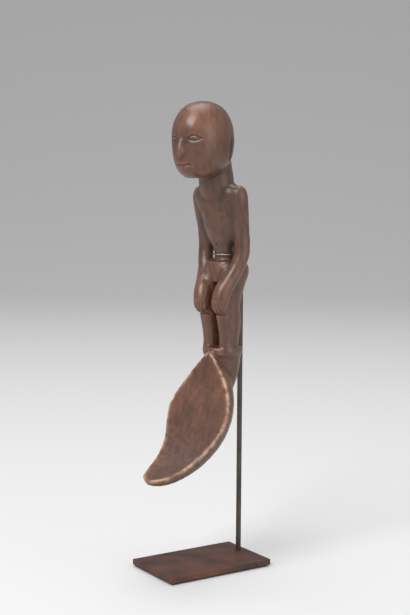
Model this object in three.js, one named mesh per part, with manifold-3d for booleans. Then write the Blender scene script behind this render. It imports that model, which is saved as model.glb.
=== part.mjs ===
// Carved wooden spoon with a standing figure for its handle, wired to a rod on a small steel plate.
// Millimetres, +Z up. The origin is the centre of the pad's underside, and the plate's long side lies along Y.
import * as THREE from 'three';
import { mergeVertices } from 'three/addons/utils/BufferGeometryUtils.js';
import Module from 'manifold-3d';

const wasm = await Module();
wasm.setup();

// Stand: sizes of the pad, the plate and the square rod, and where the rod stands
const contactGap = 0.3;
const plateLength = 60;
const plateWidth = 38;
const plateThickness = 3;
const padThickness = 0.8;
const padInset = 1.6;
const rodSize = 2;
const rodX = -3.8;
const rodY = 25.6;
const rodFoot = 2;
const rodTop = 178;

// Spoon: how far its axis stands before the rod, how it is turned, and its wall
const spoonTurn = THREE.MathUtils.degToRad(18);
const spoonReach = 17.1;
const bowlWall = 2;
const rimOpening = 6;
const platformRadius = 9.8;
const platformHeight = 4;
const platformZ = 109.5;
const platformBack = 2.1;
const soleSink = 1;

// Tie wire: its thickness, the height of the loop round the waist, and the loop's clearance
const wireDiameter = 0.8;
const wireZ = 160.5;
const waistHalfWidth = 5.2;
const waistHalfDepth = 5.6;
const waistBack = 4.2;
const wireSlack = 0.3;
const tailRise = 11;
const tailHook = 5;

// Forms of the figure: each row is height, half width, half depth, distance back of the axis
const headForm = [
  [198.5, 5.5, 7, -18], [201, 8.4, 11.2, -17.2], [205.5, 11.4, 15, -15.6], [211, 13, 16.6, -14.8],
  [218, 13.6, 17.2, -14.8], [225, 12.7, 16.2, -14.8], [231, 10, 13, -14.6], [234.6, 6.2, 8.4, -14.4],
  [236.2, 1.8, 2.6, -14.2],
];
const neckForm = [[188, 9.2, 7.6, -1.5], [194, 8.8, 8.4, -3.4], [200, 8.6, 8.6, -4.4], [208, 8.6, 8.6, -6.5]];
const torsoForm = [
  [149, 7.2, 8, 4.6], [154, 7, 7.4, 4.8], [157.5, 5.9, 6.3, 4.5], [wireZ, waistHalfWidth, waistHalfDepth, waistBack],
  [164.6, 6.2, 6.3, 3.5], [168, 7.8, 7.2, 2.8], [173, 9.6, 8, 1.9], [180, 11, 8.4, 0.8], [186, 13.4, 8.6, -0.3],
  [190.5, 15, 8, -0.9], [194, 12.5, 7, -1.5], [196, 9, 6, -2],
];
const legForm = [
  [platformZ + platformHeight - soleSink, 4, 6, 0.5], [118, 4, 6.2, 1], [124, 4.3, 7.4, 1], [129, 4.5, 8.2, 0.4],
  [133, 4.5, 8.4, -0.6], [138, 4.6, 8.6, 0.2], [145, 4.9, 9.4, 2.4], [150, 5.1, 10, 4.4], [154.5, 4.7, 9, 5.4],
  [157.5, 2.6, 5.6, 5.4],
];
const legSide = 5.1;
const flapForm = [[146.5, 0.6, 0.9, -4.6], [150, 2.6, 1.4, -4], [154, 4.6, 1.8, -3], [157, 6, 2.2, -1.6]];
const stubForm = [[84, 3, 3, -2.5], [90, 6, 5, 0], [98, 8, 7, 1.9], [106, 8.8, 8.6, 2.3], [111, 9.2, 9.2, 2.1]];

// Arm's line from shoulder to finger tips: distance to the side, back, height, radius
const armLine = [
  [10, -1, 194.4, 2.2], [10.6, -1, 192.8, 4.2], [11.2, -0.8, 189.5, 5], [11.5, 0.3, 183, 4.6], [11.2, 2, 174, 4.2],
  [11.4, 2.9, 165.5, 4], [11.3, 2.2, 159.5, 3.9], [10, 0, 153, 3.9], [7.8, -3.4, 147, 4.1], [6.4, -6, 142.5, 4.5], [5.8, -7.4, 138, 4.5],
  [5.6, -7.6, 134.5, 4], [5.5, -7, 132, 2.8],
];

// Bowl: rim centre back and height, half width there, and the bowl's back line at the same station
const bowlForm = [
  [-9, 111.5, 1.2, -1, 110], [-10, 105, 7, 4, 102.5], [-12, 96, 13.6, 1.8, 92.5], [-16.2, 86, 18.8, -4, 82],
  [-19.8, 77, 18.6, -8.6, 71], [-24.4, 69, 16, -15.2, 61.8], [-32.4, 62, 13, -25.4, 54.8],
  [-42.6, 57, 10.4, -38.8, 51], [-51, 54.6, 7, -48.6, 50.2], [-55.6, 53.6, 1.6, -54.6, 51.6],
];

const smooth = (rows, steps) => {
  const out = [];
  const at = (i, k) => rows[Math.max(0, Math.min(rows.length - 1, i))][k];
  for (let i = 0; i < rows.length - 1; i++) {
    for (let j = 0; j < steps; j++) {
      const t = j / steps;
      out.push(rows[0].map((_, k) => {
        const p0 = at(i - 1, k);
        const p1 = at(i, k);
        const p2 = at(i + 1, k);
        const p3 = at(i + 2, k);
        const bend = 2 * p0 - 5 * p1 + 4 * p2 - p3 + (3 * p1 - p0 - 3 * p2 + p3) * t;
        return 0.5 * (2 * p1 + (p2 - p0) * t + bend * t * t);
      }));
    }
  }
  out.push(rows[rows.length - 1]);
  return out;
};

// Closed body from rings of points, with each end closed to the middle of its ring
const loft = (rings) => {
  const count = rings[0].length;
  const points = rings.flat();
  const middle = (ring) => ring.reduce((sum, p) => sum.add(p), new THREE.Vector3()).divideScalar(count);
  points.push(middle(rings[0]), middle(rings[rings.length - 1]));
  const first = points.length - 2;
  const last = points.length - 1;
  const faces = [];
  for (let r = 0; r < rings.length - 1; r++) {
    for (let i = 0; i < count; i++) {
      const a = r * count + i;
      const b = r * count + (i + 1) % count;
      faces.push(a, b, b + count, a, b + count, a + count);
    }
  }
  for (let i = 0; i < count; i++) {
    const top = (rings.length - 1) * count;
    faces.push(first, (i + 1) % count, i, last, top + i, top + (i + 1) % count);
  }
  const geometry = new THREE.BufferGeometry().setFromPoints(points);
  geometry.setIndex(faces);
  return geometry;
};

// Level rings, each an ellipse a little squarer than a true one
const levelForm = (rows, { side = 0, sides = 24, steps = 2 } = {}) => loft(smooth(rows, steps).map((row) => {
  const [z, halfWidth, halfDepth, back] = row;
  return Array.from({ length: sides }, (_, i) => {
    const angle = (i / sides) * 2 * Math.PI;
    const round = (v) => Math.sign(v) * Math.abs(v) ** 0.92;
    return new THREE.Vector3(side + halfWidth * round(Math.cos(angle)), back + halfDepth * round(Math.sin(angle)), z);
  });
}));

// Round rings square to a line, which is given by rows of side, back, height and radius
const lineForm = (rows, { sides = 14, steps = 2, reference = new THREE.Vector3(0, 1, 0) } = {}) => {
  const line = smooth(rows, steps);
  const point = (row) => new THREE.Vector3(row[0], row[1], row[2]);
  return loft(line.map((row, r) => {
    const before = point(line[Math.max(0, r - 1)]);
    const after = point(line[Math.min(line.length - 1, r + 1)]);
    const along = after.sub(before).normalize();
    const across = reference.clone().cross(along).normalize();
    const up = along.clone().cross(across);
    return Array.from({ length: sides }, (_, i) => {
      const angle = (i / sides) * 2 * Math.PI;
      return point(row).addScaledVector(across, row[3] * Math.cos(angle)).addScaledVector(up, row[3] * Math.sin(angle));
    });
  }));
};

// Bowl's section at a station: half an ellipse from rim to rim through the back line, closed across the front
const bowlShape = (inset, reach) => loft(smooth(bowlForm, 3).map((row) => {
  const [rimBack, rimZ, halfWidth, backLine, backZ] = row;
  const rim = new THREE.Vector3(0, rimBack, rimZ);
  const deep = new THREE.Vector3(0, backLine, backZ).sub(rim);
  const depth = Math.max(deep.length() - inset, 0.4);
  const width = Math.max(halfWidth - inset, 0.3);
  deep.normalize();
  const arcSides = 20;
  const section = Array.from({ length: arcSides + 1 }, (_, i) => {
    const angle = (i / arcSides) * Math.PI;
    const at = rim.clone().addScaledVector(deep, depth * Math.sin(angle) ** 0.85);
    return at.setX(width * Math.cos(angle));
  });
  const front = rim.clone().addScaledVector(deep, -reach);
  section.push(front.clone().setX(-width), front.clone().setX(width));
  return section;
}));

const solid = (geometry) => {
  const bare = geometry.clone();
  bare.deleteAttribute('normal');
  bare.deleteAttribute('uv');
  const merged = mergeVertices(bare, 1e-4);
  const mesh = new wasm.Mesh({
    numProp: 3, vertProperties: new Float32Array(merged.attributes.position.array),
    triVerts: new Uint32Array(merged.index.array),
  });
  const body = new wasm.Manifold(mesh);
  if (body.volume() > 0) return body;
  // A mirrored form is inside out, so the corners of its triangles go in the other order
  mesh.triVerts = mesh.triVerts.map((_, i, corners) => corners[i + 2 - 2 * (i % 3)]);
  return new wasm.Manifold(mesh);
};

const geometryOf = (body) => {
  const mesh = body.getMesh();
  const geometry = new THREE.BufferGeometry();
  geometry.setAttribute('position', new THREE.BufferAttribute(new Float32Array(mesh.vertProperties), 3));
  geometry.setIndex(new THREE.BufferAttribute(new Uint32Array(mesh.triVerts), 1));
  geometry.computeVertexNormals();
  return geometry;
};

const mirrored = (geometry) => geometry.clone().applyMatrix4(new THREE.Matrix4().makeScale(-1, 1, 1));

const group = new THREE.Group();
const add = (name, geometry, material, parent = group) => {
  const mesh = new THREE.Mesh(geometry, material);
  mesh.name = name;
  parent.add(mesh);
  return mesh;
};

const wood = new THREE.MeshStandardMaterial({ color: 0x5a3826, roughness: 0.42, metalness: 0 });
const steel = new THREE.MeshStandardMaterial({ color: 0x5e4a40, roughness: 0.55, metalness: 0.7 });
const dark = new THREE.MeshStandardMaterial({ color: 0x3a3530, roughness: 0.5, metalness: 0.7 });
const bright = new THREE.MeshStandardMaterial({ color: 0xa8a49c, roughness: 0.35, metalness: 0.9 });
const felt = new THREE.MeshStandardMaterial({ color: 0x24211f, roughness: 0.95, metalness: 0 });

// Spoon: one billet, so the figure, its platform and the bowl are one solid
const arm = lineForm(armLine);
const leg = levelForm(legForm, { side: legSide, sides: 18 });
const nose = lineForm([[0, -31.4, 219, 0.7], [0, -32.6, 214, 1.5], [0, -32.6, 210.5, 2]], { sides: 10 });
const platform = new THREE.CylinderGeometry(platformRadius, platformRadius, platformHeight, 36)
  .rotateX(Math.PI / 2)
  .translate(0, platformBack, platformZ + platformHeight / 2);
const forms = [
  levelForm(headForm), levelForm(neckForm, { sides: 20 }), levelForm(torsoForm), arm, mirrored(arm), leg, mirrored(leg),
  levelForm(flapForm, { sides: 12 }), levelForm(stubForm, { sides: 20 }), platform, nose,
];
const hollow = solid(bowlShape(bowlWall, rimOpening));
const figure = forms.map(solid).reduce((sum, body) => sum.add(body));
const spoonBody = figure.add(solid(bowlShape(0, 0.4))).subtract(hollow);

const spoonFrame = new THREE.Group();
spoonFrame.position.set(rodX + spoonReach * Math.sin(spoonTurn), rodY - spoonReach * Math.cos(spoonTurn), 0);
spoonFrame.rotation.z = spoonTurn;
group.add(spoonFrame);
add('carved_spoon', geometryOf(spoonBody), wood, spoonFrame);

// Tie wire: a closed loop round the waist and behind the rod, with a short bent tail, in the spoon's frame
const wireRadius = wireDiameter / 2;
const rodBack = spoonReach + rodSize / Math.SQRT2 + contactGap + wireRadius;
const rodSide = rodSize / Math.SQRT2 + contactGap + wireRadius;
const wireClear = contactGap + wireRadius + wireSlack;
const waistTurns = 8;
const waistEnd = 100;
const waistPoints = Array.from({ length: waistTurns + 1 }, (_, i) => {
  const angle = THREE.MathUtils.degToRad(waistEnd * (1 - i / waistTurns) - 90);
  const x = (waistHalfWidth + wireClear) * Math.cos(angle);
  return [x, waistBack + (waistHalfDepth + wireClear) * Math.sin(angle), wireZ, wireRadius];
});
const nearSide = [[0.8, rodBack, wireZ, wireRadius], [rodSide, spoonReach + 0.6, wireZ, wireRadius], ...waistPoints];
const farSide = nearSide.slice(0, -1).reverse().map(([x, y, z, radius]) => [-x, y, z, radius]);
const loopBody = solid(lineForm([...nearSide, ...farSide], { sides: 8, reference: new THREE.Vector3(0, 0, 1) }));
const twist = [
  [1.1, rodBack, wireZ - 0.2, wireRadius * 1.6], [-0.9, rodBack, wireZ + 0.1, wireRadius * 1.6],
];
const twistBody = solid(lineForm(twist, { sides: 8, steps: 4 }));
const tailTop = wireZ + tailRise;
const tailLine = [
  [0, rodBack, wireZ - 0.2, wireRadius], [0, rodBack + 0.3, wireZ + tailRise / 2, wireRadius],
  [0.4, rodBack + 0.5, tailTop, wireRadius], [1.2, rodBack + 1.8, tailTop + tailHook * 0.45, wireRadius],
  [2, rodBack + 0.9, tailTop + tailHook, wireRadius],
];
const tailBody = solid(lineForm(tailLine, { sides: 8, steps: 3 }));
const wireBody = loopBody.add(twistBody).add(tailBody);
add('tie_wire', geometryOf(wireBody), bright, spoonFrame);

// Rod: a square bar whose foot is let into the plate
const rodLength = rodTop - rodFoot;
add('stand_rod', new THREE.BoxGeometry(rodSize, rodSize, rodLength), dark)
  .position.set(rodX, rodY, rodFoot + rodLength / 2);

// Plate with a square hole for the rod's foot, on a thin pad
const plate = new THREE.BoxGeometry(plateWidth, plateLength, plateThickness)
  .translate(0, 0, padThickness + plateThickness / 2);
const socketSize = rodSize + 2 * contactGap;
const socket = new THREE.BoxGeometry(socketSize, socketSize, plateThickness)
  .translate(rodX, rodY, rodFoot - contactGap + plateThickness / 2);
add('stand_plate', geometryOf(solid(plate).subtract(solid(socket))), steel);
add('plate_pad', new THREE.BoxGeometry(plateWidth - 2 * padInset, plateLength - 2 * padInset, padThickness), felt)
  .position.set(0, 0, padThickness / 2);

export default group;
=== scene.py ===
import bpy
import numpy as np
from mathutils import Matrix, Vector


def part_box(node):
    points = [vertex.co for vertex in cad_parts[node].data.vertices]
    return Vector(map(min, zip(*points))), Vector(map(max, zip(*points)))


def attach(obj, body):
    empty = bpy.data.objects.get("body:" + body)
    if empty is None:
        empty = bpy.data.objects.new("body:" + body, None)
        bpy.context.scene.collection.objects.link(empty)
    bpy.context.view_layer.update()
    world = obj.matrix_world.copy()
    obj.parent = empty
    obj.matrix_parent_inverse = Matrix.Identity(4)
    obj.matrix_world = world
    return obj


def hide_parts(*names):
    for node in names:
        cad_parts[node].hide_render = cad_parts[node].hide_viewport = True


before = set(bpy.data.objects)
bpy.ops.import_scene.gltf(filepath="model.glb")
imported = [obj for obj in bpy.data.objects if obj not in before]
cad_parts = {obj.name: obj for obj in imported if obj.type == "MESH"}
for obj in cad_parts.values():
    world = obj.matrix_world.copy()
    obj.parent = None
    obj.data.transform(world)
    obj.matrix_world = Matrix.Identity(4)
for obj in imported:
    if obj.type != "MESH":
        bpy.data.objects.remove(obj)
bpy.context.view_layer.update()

mm = 0.001
scene = bpy.context.scene
print("frame loaded:", sorted(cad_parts))

# The spoon's own frame, in millimetres: its axis stands before the rod, and it is turned about that axis
spoonPlace = {"rodX": -3.8, "rodY": 25.6, "turn": np.radians(18), "reach": 17.1}
turnCos, turnSin = np.cos(spoonPlace["turn"]), np.sin(spoonPlace["turn"])
spoonX = spoonPlace["rodX"] + spoonPlace["reach"] * turnSin
spoonY = spoonPlace["rodY"] - spoonPlace["reach"] * turnCos


def toRow(points):
    # spoon frame in millimetres to the row's frame in metres
    x, y, z = np.moveaxis(np.asarray(points, float), -1, 0)
    return np.stack([spoonX + x * turnCos - y * turnSin, spoonY + x * turnSin + y * turnCos, z], -1) * mm


def toSpoon(points):
    # the row's frame in metres to the spoon frame in millimetres
    x, y, z = np.moveaxis(np.asarray(points, float) / mm, -1, 0)
    x, y = x - spoonX, y - spoonY
    return np.stack([x * turnCos + y * turnSin, -x * turnSin + y * turnCos, z], -1)


def smoothRows(rows, steps):
    # rows joined by a curve that passes through each of them, as a Catmull-Rom spline does
    rows = np.asarray(rows, float)
    padded = np.vstack([rows[:1], rows, rows[-1:]])
    t = (np.arange(steps) / steps)[None, :, None]
    p0, p1, p2, p3 = (padded[k:len(rows) - 1 + k, None, :] for k in range(4))
    curve = 0.5 * (2 * p1 + (p2 - p0) * t + (2 * p0 - 5 * p1 + 4 * p2 - p3) * t ** 2
                   + (3 * p1 - p0 - 3 * p2 + p3) * t ** 3)
    return np.vstack([curve.reshape(-1, rows.shape[1]), rows[-1:]])


def ringMesh(rings):
    # closed body from rings of points: quads between rings, a fan to the middle at each end
    count = rings.shape[1]
    points = np.vstack([rings.reshape(-1, 3), rings[0].mean(0), rings[-1].mean(0)])
    row, column = np.meshgrid(np.arange(len(rings) - 1), np.arange(count), indexing="ij")
    a = (row * count + column).ravel()
    b = (row * count + (column + 1) % count).ravel()
    faces = np.stack([a, b, b + count, a + count], 1).tolist()
    i = np.arange(count)
    start, end, last = len(points) - 2, len(points) - 1, (len(rings) - 1) * count
    faces += np.stack([np.full(count, start), (i + 1) % count, i], 1).tolist()
    faces += np.stack([np.full(count, end), last + i, last + (i + 1) % count], 1).tolist()
    return points, faces


def squarer(v, power=0.92):
    # a sine or cosine raised a little, so that an ellipse fills its corners as a carved form does
    return np.sign(v) * np.abs(v) ** power


def levelForm(rows, side=0.0, sides=64, steps=8):
    # level rings: side + half width times the cosine, back + half depth times the sine, both made squarer
    rows = smoothRows(rows, steps)
    angle = np.linspace(0, 2 * np.pi, sides, endpoint=False)
    x = side + rows[:, 1:2] * squarer(np.cos(angle))
    y = rows[:, 3:4] + rows[:, 2:3] * squarer(np.sin(angle))
    return ringMesh(np.stack([x, y, np.broadcast_to(rows[:, :1], x.shape)], -1))


def lineForm(rows, sides=40, steps=8, reference=(0, 1, 0)):
    # a round ring of each row's radius, square to the line through side, back and height
    rows = smoothRows(rows, steps)
    along = np.gradient(rows[:, :3], axis=0)
    along /= np.linalg.norm(along, axis=1, keepdims=True)
    across = np.cross(np.broadcast_to(reference, along.shape), along)
    across /= np.linalg.norm(across, axis=1, keepdims=True)
    up = np.cross(along, across)
    angle = np.linspace(0, 2 * np.pi, sides, endpoint=False)[None, :, None]
    ring = np.cos(angle) * across[:, None] + np.sin(angle) * up[:, None]
    return ringMesh(rows[:, None, :3] + rows[:, None, 3:4] * ring)


def mirrored(shape):
    points, faces = shape
    return points * [-1, 1, 1], [face[::-1] for face in faces]


def makeObject(name, points, faces, smooth=True):
    mesh = bpy.data.meshes.new(name)
    mesh.from_pydata(np.asarray(points).tolist(), [], faces)
    mesh.update()
    mesh.polygons.foreach_set("use_smooth", np.full(len(mesh.polygons), smooth))
    piece = bpy.data.objects.new(name, mesh)
    scene.collection.objects.link(piece)
    return piece


def joinShapes(name, shapes):
    points, faces, offset = [], [], 0
    for shapePoints, shapeFaces in shapes:
        points.append(shapePoints)
        faces += [[i + offset for i in face] for face in shapeFaces]
        offset += len(shapePoints)
    return makeObject(name, toRow(np.vstack(points)), faces)


def applyModifiers(piece):
    graph = bpy.context.evaluated_depsgraph_get()
    mesh = bpy.data.meshes.new_from_object(piece.evaluated_get(graph))
    piece.modifiers.clear()
    piece.data = mesh


def remesh(piece, voxel):
    modifier = piece.modifiers.new("voxels", "REMESH")
    modifier.mode = "VOXEL"
    modifier.voxel_size = voxel * mm
    modifier.use_smooth_shade = True
    applyModifiers(piece)


def meshArrays(mesh):
    points = np.empty(len(mesh.vertices) * 3)
    mesh.vertices.foreach_get("co", points)
    edges = np.empty(len(mesh.edges) * 2, int)
    mesh.edges.foreach_get("vertices", edges)
    return points.reshape(-1, 3), edges.reshape(-1, 2)


def setPoints(mesh, points):
    mesh.vertices.foreach_set("co", points.ravel())
    mesh.update()


def neighbourMean(values, edges, times=1):
    # mean of each vertex's neighbours along its edges, taken several times over
    count = np.bincount(edges.ravel(), minlength=len(values)).astype(float)
    for _ in range(times):
        total = np.zeros_like(values)
        for a, b in ((0, 1), (1, 0)):
            for k in range(values.shape[1]):
                total[:, k] += np.bincount(edges[:, a], values[edges[:, b], k], minlength=len(values))
        values = total / count[:, None]
    return values


def vertexNormals(mesh):
    normals = np.empty(len(mesh.vertices) * 3)
    mesh.vertices.foreach_get("normal", normals)
    return normals.reshape(-1, 3)


# Forms of the figure in millimetres. Level forms: height, half width, half depth, distance back of the axis
figure = {
    "head": [[198.5, 5.5, 7, -18], [201, 8.4, 11.2, -17.2], [205.5, 11.4, 15, -15.6], [211, 13, 16.6, -14.8],
             [218, 13.6, 17.2, -14.8], [225, 12.7, 16.2, -14.8], [231, 10, 13, -14.6], [234.6, 6.2, 8.4, -14.4],
             [236.2, 1.8, 2.6, -14.2]],
    "neck": [[188, 9.2, 7.6, -1.5], [194, 8.8, 8.4, -3.4], [200, 8.6, 8.6, -4.4], [208, 8.6, 8.6, -6.5]],
    "torso": [[149, 7.2, 8, 4.6], [154, 7, 7.4, 4.8], [157.5, 5.9, 6.3, 4.5], [160.5, 5.2, 5.6, 4.2],
              [164.6, 6.2, 6.3, 3.5], [168, 7.8, 7.2, 2.8], [173, 9.6, 8, 1.9], [180, 11, 8.4, 0.8],
              [186, 13.4, 8.6, -0.3], [190.5, 15, 8, -0.9], [194, 12.5, 7, -1.5], [196, 9, 6, -2]],
    "leg": [[112.5, 4, 6, 0.5], [118, 4, 6.2, 1], [124, 4.3, 7.4, 1], [129, 4.5, 8.2, 0.4], [133, 4.5, 8.4, -0.6],
            [138, 4.6, 8.6, 0.2], [145, 4.9, 9.4, 2.4], [150, 5.1, 10, 4.4], [154.5, 4.7, 9, 5.4],
            [157.5, 2.6, 5.6, 5.4]],
    "legSide": 5.1,
    "flap": [[146.5, 0.6, 0.9, -4.6], [150, 2.6, 1.4, -4], [154, 4.6, 1.8, -3], [157, 6, 2.2, -1.6]],
    "stub": [[84, 3, 3, -2.5], [90, 6, 5, 0], [98, 8, 7, 1.9], [106, 8.8, 8.6, 2.3], [111, 9.2, 9.2, 2.1]],
    "platform": [[109.5, 9.2, 9.2, 2.1], [110.1, 9.8, 9.8, 2.1], [112.9, 9.8, 9.8, 2.1], [113.5, 9.2, 9.2, 2.1]],
    # side, back, height and radius: from the shoulder to the finger tips, and down the nose
    "arm": [[10, -1, 194.4, 2.2], [10.6, -1, 192.8, 4.2], [11.2, -0.8, 189.5, 5], [11.5, 0.3, 183, 4.6],
            [11.2, 2, 174, 4.2], [11.4, 2.9, 165.5, 4], [11.3, 2.2, 159.5, 3.9], [9.6, 0, 153, 3.9],
            [7.8, -3.4, 147, 4.1], [6.4, -6, 142.5, 4.5], [5.8, -7.4, 138, 4.5], [5.6, -7.6, 134.5, 4],
            [5.5, -7, 132, 2.8]],
    "nose": [[0, -31, 219, 0.8], [0, -32, 214, 1.6], [0, -31.9, 210.8, 2.1], [0, -30.8, 209.4, 1.2]],
}
# Bowl: rim centre back and height, half width there, and the back line's back and height
bowl = {
    "stations": [[-9, 111.5, 1.2, -1, 110], [-10, 105, 7, 4, 102.5], [-12, 96, 13.6, 1.8, 92.5],
                 [-16.2, 86, 18.8, -4, 82], [-19.8, 77, 18.6, -8.6, 71], [-24.4, 69, 16, -15.2, 61.8],
                 [-32.4, 62, 13, -25.4, 54.8], [-42.6, 57, 10.4, -38.8, 51], [-51, 54.6, 7, -48.6, 50.2],
                 [-55.6, 53.6, 1.6, -54.6, 51.6]],
    "steps": 12, "arcSides": 60, "fullness": 0.85, "leastDepth": 0.4, "leastWidth": 0.3,
    "wall": 1.9, "lip": 0.4, "mouth": 7, "voxel": 0.5,
}


def bowlShape(inset, reach):
    # section at a station: half an ellipse from rim to rim through the back line, closed across the front
    rows = smoothRows(bowl["stations"], bowl["steps"])
    zero = np.zeros(len(rows))
    rim = np.stack([zero, rows[:, 0], rows[:, 1]], 1)
    deep = np.stack([zero, rows[:, 3], rows[:, 4]], 1) - rim
    length = np.linalg.norm(deep, axis=1, keepdims=True)
    deep /= length
    depth = np.maximum(length - inset, bowl["leastDepth"])
    width = np.maximum(rows[:, 2:3] - inset, bowl["leastWidth"])
    angle = np.linspace(0, np.pi, bowl["arcSides"] + 1)
    ring = rim[:, None] + (depth * np.sin(angle) ** bowl["fullness"])[..., None] * deep[:, None]
    ring[..., 0] = width * np.cos(angle)
    front = rim - deep * reach
    ends = [front + [[-1, 0, 0]] * width, front + [[1, 0, 0]] * width]
    return ringMesh(np.concatenate([ring, np.stack(ends, 1)], 1))


def makeSpoon():
    # the forms are joined as voxels, the bowl is hollowed, and voxels close the cut surface again
    arm = lineForm(figure["arm"])
    leg = levelForm(figure["leg"], side=figure["legSide"])
    shapes = [levelForm(figure[name]) for name in ("head", "neck", "torso", "flap", "stub")]
    shapes += [levelForm(figure["platform"], steps=2), arm, mirrored(arm), leg, mirrored(leg)]
    shapes += [lineForm(figure["nose"], sides=20), bowlShape(0, bowl["lip"])]
    piece = joinShapes("carved_spoon_visual", shapes)
    remesh(piece, bowl["voxel"])
    hollow = joinShapes("bowl_hollow", [bowlShape(bowl["wall"], bowl["mouth"])])
    cut = piece.modifiers.new("hollow", "BOOLEAN")
    cut.operation, cut.solver, cut.object = "DIFFERENCE", "EXACT", hollow
    applyModifiers(piece)
    bpy.data.objects.remove(hollow)
    remesh(piece, bowl["voxel"])
    return piece


def groove(distance, width=1.0):
    # 1 along a line, fading to 0 past its width
    return np.exp(-(distance / width) ** 2)


def segmentDistance(p, a, b):
    # distance from 2-D points to a straight stretch
    a, b = np.asarray(a, float), np.asarray(b, float)
    t = np.clip(((p - a) @ (b - a)) / ((b - a) @ (b - a)), 0, 1)
    return np.linalg.norm(p - a - t[:, None] * (b - a), axis=1)


# Carving on the figure in millimetres: a plain face on even proportions, ears, fingers and small marks
carving = {
    "rubs": 5, "tooling": 0.05, "faceFront": -20, "chin": 197,
    "eye": {"side": 6.6, "z": 217.5, "halfLength": 3.1, "halfHeight": 1.25, "line": 0.42, "depth": 0.55},
    "socket": {"side": 5.2, "z": 216.5, "wide": 3.6, "high": 3.4, "depth": 0.9},
    "mouth": {"z": 204.6, "halfLength": 3.4, "rise": 0.2, "line": 0.6, "depth": 0.9},
    "lips": {"high": 2.1, "wide": 4.2, "front": -24, "proud": 0.8},
    "ear": {"back": -7.5, "z": 213.5, "wide": 2.2, "lean": 0.05, "high": 6.6, "depth": 1.1},
    "earHole": {"back": -0.3, "z": -3.2, "stretch": 0.7, "width": 0.9, "depth": 2.0, "side": 8},
    "fingers": {"sides": (3.2, 4.7, 6.2, 7.7), "fan": 0.12, "fanZ": 134, "line": 0.34, "depth": 0.45,
                "low": 131.5, "high": 137.2, "front": -7, "inner": 1.6, "outer": 10},
    "shin": {"z": 130.6, "line": 0.42, "depth": 0.6, "front": -5.5, "inner": 1.2, "outer": 8.6},
    "chest": {"side": 5.2, "z": 181.2, "width": 1.9, "proud": 0.7, "front": -3},
    "navel": {"z": 165.5, "width": 0.7, "depth": 0.5},
    "nick": {"z": 87.2, "side": 18.4, "width": 1.1, "depth": 0.9, "below": 100},
}


def faceDepth(x, y, z):
    # almond eyes as two arcs round a lens, soft sockets, and one level cut between full lips
    side = np.abs(x)
    eye, socket, mouth, lips = (carving[name] for name in ("eye", "socket", "mouth", "lips"))
    u, v = (side - eye["side"]) / eye["halfLength"], z - eye["z"]
    lid = eye["halfHeight"] * (1 - np.clip(np.abs(u), 0, 1) ** 2)
    pastCorner = eye["halfLength"] * np.clip(np.abs(u) - 1, 0, None)
    lidGap = np.minimum(np.abs(v - lid), np.abs(v + lid)) + pastCorner
    depth = eye["depth"] * groove(lidGap, eye["line"])
    across = (side - socket["side"]) / socket["wide"]
    depth += socket["depth"] * groove(across) * groove((z - socket["z"]) / socket["high"])
    corner = (mouth["halfLength"], mouth["z"] + mouth["rise"])
    mouthGap = segmentDistance(np.stack([side, z], 1), (0, mouth["z"]), corner)
    depth += mouth["depth"] * groove(mouthGap, mouth["line"])
    full = groove((z - mouth["z"]) / lips["high"]) * groove(x / lips["wide"])
    depth -= lips["proud"] * full * (y < lips["front"])
    return depth * ((y < carving["faceFront"]) & (z > carving["chin"]))


def earDepth(x, y, z):
    # an upright leaf-shaped recess, with a small deep hole low in it
    ear, hole = carving["ear"], carving["earHole"]
    back, rise = y - ear["back"], z - ear["z"]
    leaf = np.clip(1 - (back / (ear["wide"] - ear["lean"] * rise)) ** 2 - (rise / ear["high"]) ** 2, 0, 1)
    bored = groove(np.hypot(back - hole["back"], (rise - hole["z"]) * hole["stretch"]), hole["width"])
    return (ear["depth"] * leaf ** 0.5 + hole["depth"] * bored) * (np.abs(x) > hole["side"])


def bodyDepth(x, y, z):
    # fingers, the line across each shin under the hands, the chest's two bumps and a small navel
    side = np.abs(x)
    fingers, shin, chest, navel = (carving[name] for name in ("fingers", "shin", "chest", "navel"))
    hand = (z > fingers["low"]) & (z < fingers["high"]) & (y < fingers["front"])
    hand &= (side > fingers["inner"]) & (side < fingers["outer"])
    fan = side + fingers["fan"] * (z - fingers["fanZ"])
    cuts = sum(groove(fan - at, fingers["line"]) for at in fingers["sides"])
    depth = fingers["depth"] * cuts * hand
    below = (y < shin["front"]) & (side > shin["inner"]) & (side < shin["outer"])
    depth += shin["depth"] * groove(z - shin["z"], shin["line"]) * below
    bump = groove(np.hypot(side - chest["side"], z - chest["z"]), chest["width"])
    depth -= chest["proud"] * bump * (y < chest["front"])
    return depth + navel["depth"] * groove(np.hypot(x, z - navel["z"]), navel["width"]) * (y < 0)


def carveDetails(piece):
    # the forms are rubbed smooth, cut along their normals, nicked on the rim and left faintly tooled
    mesh = piece.data
    points, edges = meshArrays(mesh)
    for _ in range(carving["rubs"]):
        points += 0.5 * (neighbourMean(points, edges) - points)
    setPoints(mesh, points)
    normals = vertexNormals(mesh)
    x, y, z = toSpoon(points).T
    depth = faceDepth(x, y, z) + earDepth(x, y, z) + bodyDepth(x, y, z)
    nick = carving["nick"]
    notch = groove(np.hypot(z - nick["z"], x + nick["side"]), nick["width"]) * (z < nick["below"])
    tooled = np.sin(z * 0.9 + 2 * np.sin(y * 0.5)) * np.sin(y * 0.8 + x * 0.7)
    moved = points + normals * ((carving["tooling"] * tooled - depth) * mm)[:, None]
    moved += nick["depth"] * mm * notch[:, None] * np.array([turnCos, turnSin, 0])
    setPoints(mesh, moved)
    return depth


# the gains turn what stands proud into edge wear and what sinks into painted shade in hollows
wearAndShade = {"fine": 3, "broad": 14, "sharpGain": 9, "recessGain": 2.2, "rimInset": 0.6, "rimWidth": 1.1, "bowlTop": 112}


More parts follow.
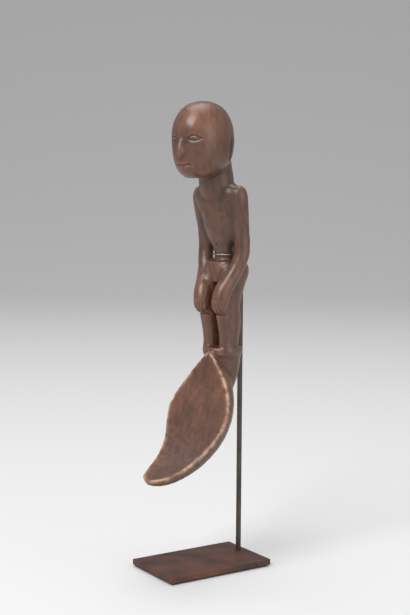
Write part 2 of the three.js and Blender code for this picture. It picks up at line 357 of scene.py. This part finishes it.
def markWearAndShade(piece, depth):
    # how far a vertex stands proud of its neighbours or sinks below them, close by and further off, and how near
    # the rim it lies; the sinking and the cut depth are kept as masks of painted shade
    mesh = piece.data
    points, edges = meshArrays(mesh)
    near = neighbourMean(points, edges, wearAndShade["fine"])
    far = neighbourMean(near, edges, wearAndShade["broad"])
    normals = vertexNormals(mesh)
    sharp = ((points - near) * normals).sum(1) / mm
    broad = ((points - far) * normals).sum(1) / mm
    places = toSpoon(points)
    rows = smoothRows(bowl["stations"], bowl["steps"])
    rimSide = rows[:, 2] - wearAndShade["rimInset"]
    rimPoints = np.concatenate([np.stack([s * rimSide, rows[:, 0], rows[:, 1]], 1) for s in (-1, 1)])
    rim = np.zeros(len(points))
    inBowl = np.flatnonzero(places[:, 2] < wearAndShade["bowlTop"])
    for part in np.array_split(inBowl, 60):  # in parts, so that the table of distances stays small
        gap = places[part][:, None] - rimPoints[None]
        rim[part] = groove(np.sqrt((gap ** 2).sum(2).min(1)), wearAndShade["rimWidth"])
    # the sunk measure and the cut depth are stored as masks for painted shade
    marks = {"proud": sharp * wearAndShade["sharpGain"], "recess": -broad * wearAndShade["recessGain"],
             "rimWear": rim, "cutDepth": depth}
    for name, values in marks.items():
        layer = mesh.attributes.new(name, "FLOAT", "POINT")
        layer.data.foreach_set("value", np.clip(values, 0, 1).astype(np.float32))


class Socket:
    # a node's output, so that shader maths is written as Python expressions
    def __init__(self, tree, link):
        self.tree, self.link = tree, link

    def math(self, operation, *others):
        return node(self.tree, "ShaderNodeMath", {"operation": operation}, dict(enumerate(others)))

    def __add__(self, other):
        return self.math("ADD", self, other)

    def __radd__(self, other):
        return self.math("ADD", other, self)

    def __mul__(self, other):
        return self.math("MULTIPLY", self, other)

    def __rmul__(self, other):
        return self.math("MULTIPLY", other, self)


def node(tree, kind, settings, values, output=0):
    # one node: its settings first, then the numbers or links of its sockets
    made = tree.nodes.new(kind)
    for key, value in settings.items():
        if key == "stops":
            while len(made.color_ramp.elements) < len(value):
                made.color_ramp.elements.new(0.5)
            for element, (place, colour) in zip(made.color_ramp.elements, value):
                element.position, element.color = place, (*colour, 1)
        else:
            setattr(made, key, value)
    for key, value in values.items():
        if isinstance(value, Socket):
            tree.links.new(value.link, made.inputs[key])
        else:
            made.inputs[key].default_value = value
    return Socket(tree, made.outputs[output])


def startMaterial(name):
    material = bpy.data.materials.new(name)
    material.use_nodes = True
    tree = material.node_tree
    return material, tree, tree.nodes["Principled BSDF"]


def feed(tree, shader, name, socket):
    tree.links.new(socket.link, shader.inputs[name])


def mixColour(tree, factor, a, b):
    return node(tree, "ShaderNodeMix", {"data_type": "RGBA"}, {0: factor, 6: a, 7: b}, output=2)


def attribute(tree, name):
    return node(tree, "ShaderNodeAttribute", {"attribute_name": name}, {}, output=2)


def objectNoise(tree, scale, stretch=(1, 1, 1), detail=4.0, roughness=0.55):
    place = node(tree, "ShaderNodeTexCoord", {}, {}, output=3)
    mapped = node(tree, "ShaderNodeMapping", {}, {"Vector": place, "Scale": stretch})
    return node(tree, "ShaderNodeTexNoise", {},
                {"Vector": mapped, "Scale": scale, "Detail": detail, "Roughness": roughness})


def ramp(tree, factor, stops):
    return node(tree, "ShaderNodeValToRGB", {"stops": stops}, {"Fac": factor})


def bumpFrom(tree, shader, height, strength, distance):
    values = {"Strength": strength, "Distance": distance, "Height": height}
    feed(tree, shader, "Normal", node(tree, "ShaderNodeBump", {}, values))


# cut is a painted-shade colour for the carved cuts, and dark also stands for painted shade in hollows
wood = {"dark": (0.030, 0.013, 0.009), "mid": (0.088, 0.036, 0.020), "warm": (0.165, 0.062, 0.031),
        "cut": (0.012, 0.006, 0.004), "edge": (0.30, 0.13, 0.07), "worn": (0.46, 0.28, 0.17),
        "roughness": 0.26, "coat": 0.18, "coatRoughness": 0.22}


def woodMaterial():
    # dark to warm by patches and upright grain, darkened in hollows and cuts by painted shade, lighter on edges and
    # the rim
    material, tree, shader = startMaterial("polished_wood")
    grain = objectNoise(tree, 420, (1, 1, 0.07), 6, 0.65)
    patches = objectNoise(tree, 42, (1, 1, 0.6), 5)
    fine = objectNoise(tree, 1500, (1, 1, 0.2), 3)
    tone = 0.55 * patches + 0.45 * grain
    colour = ramp(tree, tone, [(0.34, wood["dark"]), (0.5, wood["mid"]), (0.66, wood["warm"])])
    # painted shade: hollows darkened towards the darkest wood colour
    colour = mixColour(tree, 0.8 * attribute(tree, "recess"), colour, (*wood["dark"], 1))
    # painted shade: carved cuts darkened to near black
    colour = mixColour(tree, 0.75 * attribute(tree, "cutDepth"), colour, (*wood["cut"], 1))
    colour = mixColour(tree, 0.28 * attribute(tree, "proud"), colour, (*wood["edge"], 1))
    broken = ramp(tree, objectNoise(tree, 260), [(0.38, (0, 0, 0)), (0.6, (1, 1, 1))])
    colour = mixColour(tree, 0.85 * (attribute(tree, "rimWear") * broken), colour, (*wood["worn"], 1))
    feed(tree, shader, "Base Color", colour)
    feed(tree, shader, "Roughness", wood["roughness"] + 0.28 * grain + 0.2 * attribute(tree, "recess"))
    bumpFrom(tree, shader, 0.6 * grain + 0.4 * fine, 0.22, 0.00035)
    shader.inputs["Coat Weight"].default_value = wood["coat"]
    shader.inputs["Coat Roughness"].default_value = wood["coatRoughness"]
    return material


# Metals: dark and light colour, how metallic, least roughness, size of the blotches and their share
metals = {
    "dull_wire": {"dark": (0.16, 0.15, 0.14), "light": (0.46, 0.44, 0.41), "metallic": 0.9,
                  "roughness": 0.30, "scale": 300, "blotches": 0.5},
    "rust_brown_steel": {"dark": (0.030, 0.017, 0.013), "light": (0.135, 0.055, 0.034), "metallic": 0.35,
                         "roughness": 0.38, "scale": 70, "blotches": 0.75},
    "patinated_bar": {"dark": (0.045, 0.037, 0.032), "light": (0.11, 0.082, 0.066), "metallic": 0.55,
                      "roughness": 0.38, "scale": 120, "blotches": 0.6},
}


def steelMaterial(name):
    # patina in blotches with a fine grit over it, which also roughens the surface
    metal = metals[name]
    material, tree, shader = startMaterial(name)
    blotch = objectNoise(tree, metal["scale"], (1, 1, 1), 8, 0.6)
    grit = objectNoise(tree, 1400, (1, 1, 1), 3)
    tone = metal["blotches"] * blotch + (1 - metal["blotches"]) * grit
    feed(tree, shader, "Base Color", ramp(tree, tone, [(0.36, metal["dark"]), (0.64, metal["light"])]))
    feed(tree, shader, "Roughness", metal["roughness"] + 0.3 * blotch)
    bumpFrom(tree, shader, grit, 0.25, 0.0002)
    shader.inputs["Metallic"].default_value = metal["metallic"]
    return material


felt = {"dark": (0.006, 0.006, 0.006), "light": (0.03, 0.028, 0.026), "roughness": 0.95}


def feltMaterial():
    material, tree, shader = startMaterial("dark_felt")
    fibre = objectNoise(tree, 2600, (1, 1, 0.3), 5, 0.7)
    feed(tree, shader, "Base Color", ramp(tree, fibre, [(0.35, felt["dark"]), (0.7, felt["light"])]))
    bumpFrom(tree, shader, fibre, 0.6, 0.0003)
    shader.inputs["Roughness"].default_value = felt["roughness"]
    return material


def roundedBlock(name, low, high, radius):
    # a block between two corners whose edges are rounded by a bevel
    low, high = np.asarray(low, float), np.asarray(high, float)
    pick = np.array([[i, j, k] for i in (0, 1) for j in (0, 1) for k in (0, 1)])
    faces = [[0, 1, 3, 2], [4, 6, 7, 5], [0, 4, 5, 1], [2, 3, 7, 6], [0, 2, 6, 4], [1, 5, 7, 3]]
    piece = makeObject(name, low + (high - low) * pick, faces, smooth=False)
    bevel = piece.modifiers.new("edges", "BEVEL")
    bevel.width, bevel.segments, bevel.limit_method = radius * mm, 3, "ANGLE"
    applyModifiers(piece)
    return piece


# Tie wire in the spoon's frame: the waist's half width, half depth and back, and the wire's clearance to it
wire = {
    "radius": 0.4, "height": 160.5, "clear": 1.0, "waist": (5.2, 5.6, 4.2), "waistEnd": 10, "waistPoints": 9,
    "rodBack": 19.2, "besideRod": (2.1, 17.7), "start": 0.6,
    "turns": 2.5, "lay": 0.42, "twistBack": 0.1, "twistLow": 0.2, "twistLength": 6, "twistPoints": 40,
    # the long end's side, distance behind the twist's line and height over the loop
    "tail": [[0, 0.1, 5.4], [0, 0.3, 8], [0.4, 0.5, 11], [1.2, 1.8, 13.25], [2, 0.9, 16]],
}


def makeWire():
    # one wire: round the waist past the rod, and behind it both ends are twisted and one is left long
    r, z, c = wire["radius"], wire["height"], wire["clear"]
    halfWidth, halfDepth, back = wire["waist"]
    angle = np.radians(np.linspace(wire["waistEnd"], -90, wire["waistPoints"]))
    waist = [[(halfWidth + c) * np.cos(a), back + (halfDepth + c) * np.sin(a), z, r] for a in angle]
    near = [[wire["start"], wire["rodBack"], z, r], [*wire["besideRod"], z, r]] + waist
    far = [[-x, y, height, radius] for x, y, height, radius in near[:-1][::-1]]
    shapes = [lineForm(near + far, sides=16, steps=6, reference=(0, 0, 1))]
    along = np.linspace(0, 1, wire["twistPoints"])
    for phase in (0, np.pi):
        spin = 2 * np.pi * wire["turns"] * along + phase
        twistY = wire["rodBack"] + wire["twistBack"] + wire["lay"] * np.sin(spin)
        twistZ = z - wire["twistLow"] + wire["twistLength"] * along
        strand = np.stack([wire["lay"] * np.cos(spin), twistY, twistZ, np.full(len(along), r)], 1)
        shapes.append(lineForm(strand, sides=12, steps=1))
    tail = [[x, wire["rodBack"] + behind, z + rise, r] for x, behind, rise in wire["tail"]]
    shapes.append(lineForm(tail, sides=14, steps=8))
    return joinShapes("tie_wire_visual", shapes)


def finishPiece(piece, material, nodeName):
    piece.data.materials.clear()
    piece.data.materials.append(material)
    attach(piece, "root")
    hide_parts(nodeName)


spoon = makeSpoon()
markWearAndShade(spoon, carveDetails(spoon))
finishPiece(spoon, woodMaterial(), "carved_spoon")
print("spoon carved:", len(spoon.data.polygons), "faces")

finishPiece(makeWire(), steelMaterial("dull_wire"), "tie_wire")
print("wire made")

# Stand: each block's slot, the radius of its edges in millimetres, and its material
stand = {
    "stand_plate": ("plate_steel", 0.35, steelMaterial("rust_brown_steel")),
    "stand_rod": ("dark_steel", 0.2, steelMaterial("patinated_bar")),
    "plate_pad": ("felt", 0.15, feltMaterial()),
}
for nodeName, (slot, edge, material) in stand.items():
    lowCorner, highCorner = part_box(nodeName)
    finishPiece(roundedBlock(nodeName + "_visual", lowCorner, highCorner, edge), material, nodeName)
print("stand made")


# Camera: where it stands in millimetres, its bearing, dip and roll in degrees, focal length in pixels
view = {"place": (504.5, -330.7, 189.4), "bearing": 56.67, "dip": 5.27, "roll": 0.37, "focal": 1200, "wide": 410}


def makeCamera():
    a, p, r = (np.radians(view[key]) for key in ("bearing", "dip", "roll"))
    back = np.array([np.sin(a) * np.cos(p), -np.cos(a) * np.cos(p), np.sin(p)])
    right = np.array([np.cos(a), np.sin(a), 0])
    up = np.cross(right, -back)
    right, up = np.cos(r) * right + np.sin(r) * up, np.cos(r) * up - np.sin(r) * right
    data = bpy.data.cameras.new("camera")
    data.sensor_fit = "HORIZONTAL"
    data.lens = data.sensor_width * view["focal"] / view["wide"]
    camera = bpy.data.objects.new("camera", data)
    turn = Matrix(np.column_stack([right, up, back]).tolist()).to_4x4()
    camera.matrix_world = Matrix.Translation(Vector(view["place"]) * mm) @ turn
    scene.collection.objects.link(camera)
    scene.camera = camera


# Studio in metres: the paper's colour and sweep, the sky's strength, and each lamp's place, size and power
studio = {
    "paper": (0.60, 0.60, 0.60), "paperRoughness": 0.9, "halfWidth": 4, "behind": 5, "bendStart": 1.6,
    "bendRadius": 2, "wallSlope": 3, "under": 0.00001, "sky": 0.55, "aim": (0, 0, 0.14),
    "lamps": {"key": ((0.35, -1.0, 1.15), 0.7, 16), "top": ((-0.2, 0.1, 1.6), 1.2, 14),
              "fill": ((1.2, 0.4, 0.5), 1.0, 5)},
}


def makeStage():
    # a floor that sweeps up into a wall: its height rises as a quarter circle behind the object
    width, radius = studio["halfWidth"], studio["bendRadius"]
    u, v = np.meshgrid(np.linspace(-width, width, 9), np.linspace(-width, studio["behind"], 73), indexing="ij")
    bend = np.clip(v - studio["bendStart"], 0, None)
    curve = radius - np.sqrt(np.clip(radius ** 2 - np.clip(bend, 0, radius) ** 2, 0, None))
    height = np.where(bend < radius, curve, radius + studio["wallSlope"] * (bend - radius))
    a = np.radians(view["bearing"])
    x = np.cos(a) * u - np.sin(a) * v
    y = np.sin(a) * u + np.cos(a) * v
    rows, columns = u.shape
    i, j = np.meshgrid(np.arange(rows - 1), np.arange(columns - 1), indexing="ij")
    corner = (i * columns + j).ravel()
    faces = np.stack([corner, corner + columns, corner + columns + 1, corner + 1], 1).tolist()
    floor = makeObject("studio_sweep", np.stack([x, y, height - studio["under"]], -1).reshape(-1, 3), faces)
    material, _, shader = startMaterial("pale_paper")
    shader.inputs["Base Color"].default_value = (*studio["paper"], 1)
    shader.inputs["Roughness"].default_value = studio["paperRoughness"]
    floor.data.materials.append(material)


def makeLights():
    for name, (place, size, power) in studio["lamps"].items():
        data = bpy.data.lights.new(name, "AREA")
        data.size, data.energy = size, power
        lamp = bpy.data.objects.new(name, data)
        lamp.location = place
        lamp.rotation_euler = (Vector(studio["aim"]) - Vector(place)).to_track_quat("-Z", "Y").to_euler()
        scene.collection.objects.link(lamp)
    world = bpy.data.worlds.new("studio")
    world.use_nodes = True
    sky = world.node_tree.nodes["Background"]
    sky.inputs["Color"].default_value = (1, 1, 1, 1)
    sky.inputs["Strength"].default_value = studio["sky"]
    scene.world = world


makeCamera()
makeStage()
makeLights()
scene.view_settings.view_transform = "Standard"
print("scene ready")
